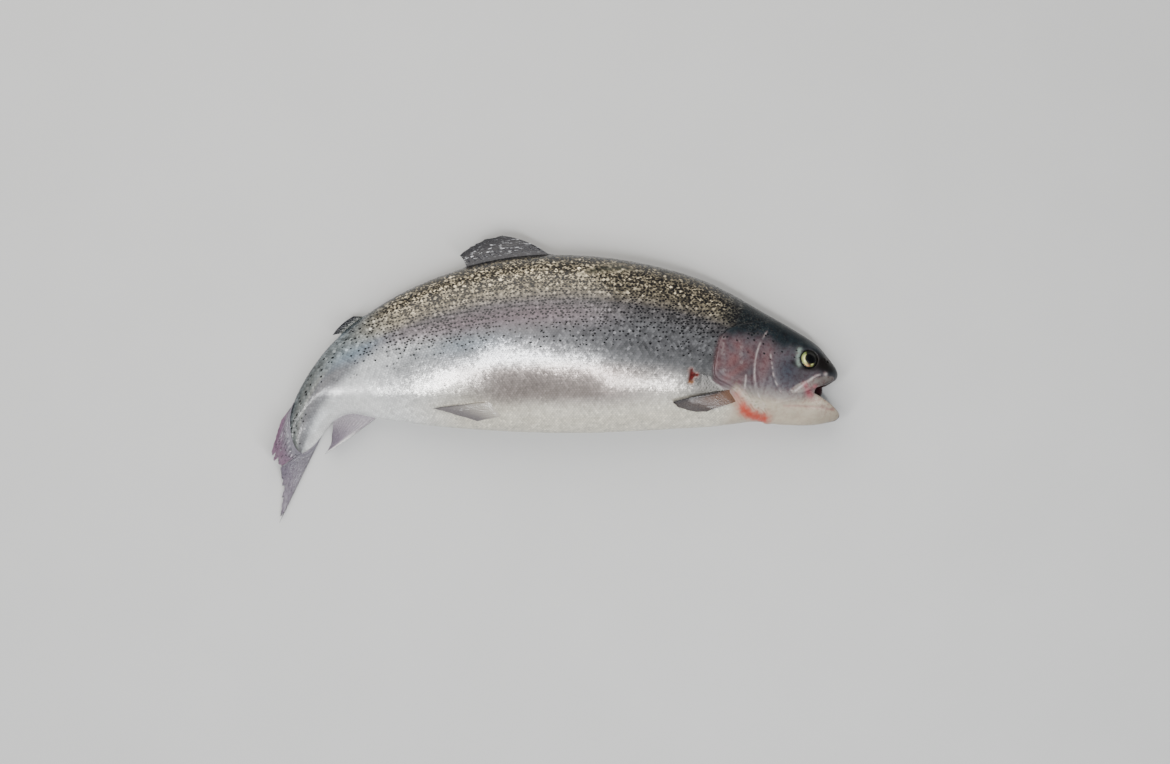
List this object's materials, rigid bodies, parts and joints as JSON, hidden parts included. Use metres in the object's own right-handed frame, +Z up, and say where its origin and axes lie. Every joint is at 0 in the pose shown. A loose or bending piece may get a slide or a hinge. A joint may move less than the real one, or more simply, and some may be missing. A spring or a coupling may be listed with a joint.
{
  "type": "rainbow trout",
  "caption": "Life-size rainbow trout lying on its left flank, back arched, mouth open and tail bent down, as a still display model.",
  "frame": {"origin": "centre of the fish's box in X and Y, at the floor it rests on", "axes": "+X towards the head, +Y towards the back, +Z up through the right flank"},
  "size_m": [0.4738, 0.2368, 0.0761],
  "materials": {
    "silver_flank": "wet satin scales",
    "olive_head": "wet satin skin",
    "pale_jaw": "wet satin skin",
    "pink_gill_cover": "wet satin skin over bone",
    "grey_fin": "wet fin membrane and rays",
    "red_mouth": "wet mouth lining",
    "golden_eye": "wet eye"
  },
  "bodies": {
    "root": {"trunk_front": "silver_flank", "trunk_rear": "silver_flank", "tail_stalk": "silver_flank", "head": "olive_head", "lower_jaw": "pale_jaw", "maxilla_right": "pale_jaw", "maxilla_left": "pale_jaw", "gill_cover_right": "pink_gill_cover", "gill_cover_left": "pink_gill_cover", "dorsal_fin": "grey_fin", "adipose_fin": "grey_fin", "anal_fin": "grey_fin", "caudal_fin_upper": "grey_fin", "caudal_fin_lower": "grey_fin", "pectoral_fin_right": "grey_fin", "pectoral_fin_left": "grey_fin", "pelvic_fin_right": "grey_fin", "pelvic_fin_left": "grey_fin", "tongue": "red_mouth", "eye_right": "golden_eye", "eye_left": "golden_eye"}
  },
  "joints": []
}
